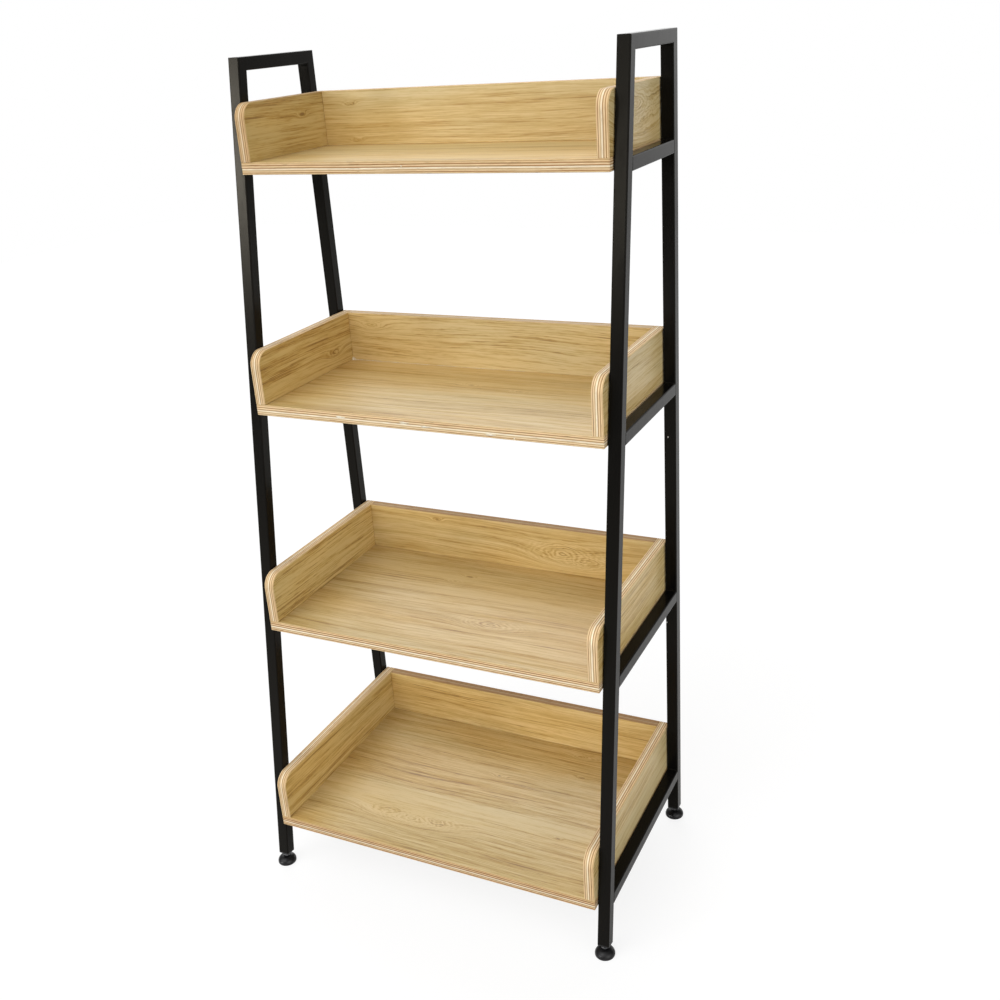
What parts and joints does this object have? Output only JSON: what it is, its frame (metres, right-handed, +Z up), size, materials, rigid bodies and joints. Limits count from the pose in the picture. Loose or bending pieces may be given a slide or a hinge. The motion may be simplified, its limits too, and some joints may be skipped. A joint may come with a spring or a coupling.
{
  "type": "shelving unit",
  "caption": "Tiered ladder rack: leaning end frames of square steel tube carry open plywood trays that grow deeper downwards, on screw-adjusted levelling feet.",
  "frame": {"origin": "middle of the footprint, at floor level", "axes": "+X to the right seen from the front, the front faces -Y, +Z up"},
  "size_m": [0.656, 0.407, 1.376],
  "materials": {
    "steel_frame": "satin black powder coat",
    "oak_ply": "oak-faced plywood, clear matt lacquer",
    "insert_plastic": "moulded black plastic",
    "pad_plastic": "moulded black plastic, satin",
    "stud_steel": "black zinc-plated steel",
    "screw_steel": "zinc-plated steel",
    "dowel_beech": "plain beech"
  },
  "bodies": {
    "rack": {"left_top_rail": "steel_frame", "left_front_leg": "steel_frame", "left_front_insert": "insert_plastic", "left_rear_leg": "steel_frame", "left_rear_insert": "insert_plastic", "left_rail_1": "steel_frame", "left_lugs_1": "steel_frame", "tray_1_left_side": "oak_ply", "left_rail_2": "steel_frame", "left_lugs_2": "steel_frame", "tray_2_left_side": "oak_ply", "left_rail_3": "steel_frame", "left_lugs_3": "steel_frame", "tray_3_left_side": "oak_ply", "left_rail_4": "steel_frame", "left_lugs_4": "steel_frame", "tray_4_left_side": "oak_ply", "right_top_rail": "steel_frame", "right_front_leg": "steel_frame", "right_front_insert": "insert_plastic", "right_rear_leg": "steel_frame", "right_rear_insert": "insert_plastic", "right_rail_1": "steel_frame", "right_lugs_1": "steel_frame", "tray_1_right_side": "oak_ply", "right_rail_2": "steel_frame", "right_lugs_2": "steel_frame", "tray_2_right_side": "oak_ply", "right_rail_3": "steel_frame", "right_lugs_3": "steel_frame", "tray_3_right_side": "oak_ply", "right_rail_4": "steel_frame", "right_lugs_4": "steel_frame", "tray_4_right_side": "oak_ply", "tray_1_board": "oak_ply", "tray_1_back": "oak_ply", "tray_2_board": "oak_ply", "tray_2_back": "oak_ply", "tray_3_board": "oak_ply", "tray_3_back": "oak_ply", "tray_4_board": "oak_ply", "tray_4_back": "oak_ply", "tray_screws": "screw_steel", "lug_screws": "screw_steel", "tray_dowels": "dowel_beech"},
    "left_front_pad": {"left_front_foot_pad": "pad_plastic"},
    "left_front_stud": {"left_front_foot_stud": "stud_steel"},
    "left_rear_pad": {"left_rear_foot_pad": "pad_plastic"},
    "left_rear_stud": {"left_rear_foot_stud": "stud_steel"},
    "right_front_pad": {"right_front_foot_pad": "pad_plastic"},
    "right_front_stud": {"right_front_foot_stud": "stud_steel"},
    "right_rear_pad": {"right_rear_foot_pad": "pad_plastic"},
    "right_rear_stud": {"right_rear_foot_stud": "stud_steel"}
  },
  "joints": [
    {"name": "left_front_foot_travel", "type": "slide", "parent": "rack", "child": "left_front_pad", "axis": [0, -0.1403, -0.9901], "range_m": [-0.0026, 0.0101]},
    {"name": "left_front_foot_turn", "type": "hinge", "parent": "left_front_pad", "child": "left_front_stud", "pos_m": [-0.3115, -0.18695, 0.007], "axis": [0, -0.1403, -0.9901], "range_deg": [-720, 2880]},
    {"name": "left_rear_foot_travel", "type": "slide", "parent": "rack", "child": "left_rear_pad", "axis": [0, 0, -1], "range_m": [-0.0026, 0.0101]},
    {"name": "left_rear_foot_turn", "type": "hinge", "parent": "left_rear_pad", "child": "left_rear_stud", "pos_m": [-0.3115, 0.18695, 0.007], "axis": [0, 0, -1], "range_deg": [-720, 2880]},
    {"name": "right_front_foot_travel", "type": "slide", "parent": "rack", "child": "right_front_pad", "axis": [0, -0.1403, -0.9901], "range_m": [-0.0026, 0.0101]},
    {"name": "right_front_foot_turn", "type": "hinge", "parent": "right_front_pad", "child": "right_front_stud", "pos_m": [0.3115, -0.18695, 0.007], "axis": [0, -0.1403, -0.9901], "range_deg": [-720, 2880]},
    {"name": "right_rear_foot_travel", "type": "slide", "parent": "rack", "child": "right_rear_pad", "axis": [0, 0, -1], "range_m": [-0.0026, 0.0101]},
    {"name": "right_rear_foot_turn", "type": "hinge", "parent": "right_rear_pad", "child": "right_rear_stud", "pos_m": [0.3115, 0.18695, 0.007], "axis": [0, 0, -1], "range_deg": [-720, 2880]}
  ],
  "couplings": [
    {"joint": "left_front_foot_travel", "follows": "left_front_foot_turn", "m_per_rad": 0.00019894},
    {"joint": "left_rear_foot_travel", "follows": "left_rear_foot_turn", "m_per_rad": 0.00019894},
    {"joint": "right_front_foot_travel", "follows": "right_front_foot_turn", "m_per_rad": 0.00019894},
    {"joint": "right_rear_foot_travel", "follows": "right_rear_foot_turn", "m_per_rad": 0.00019894}
  ]
}
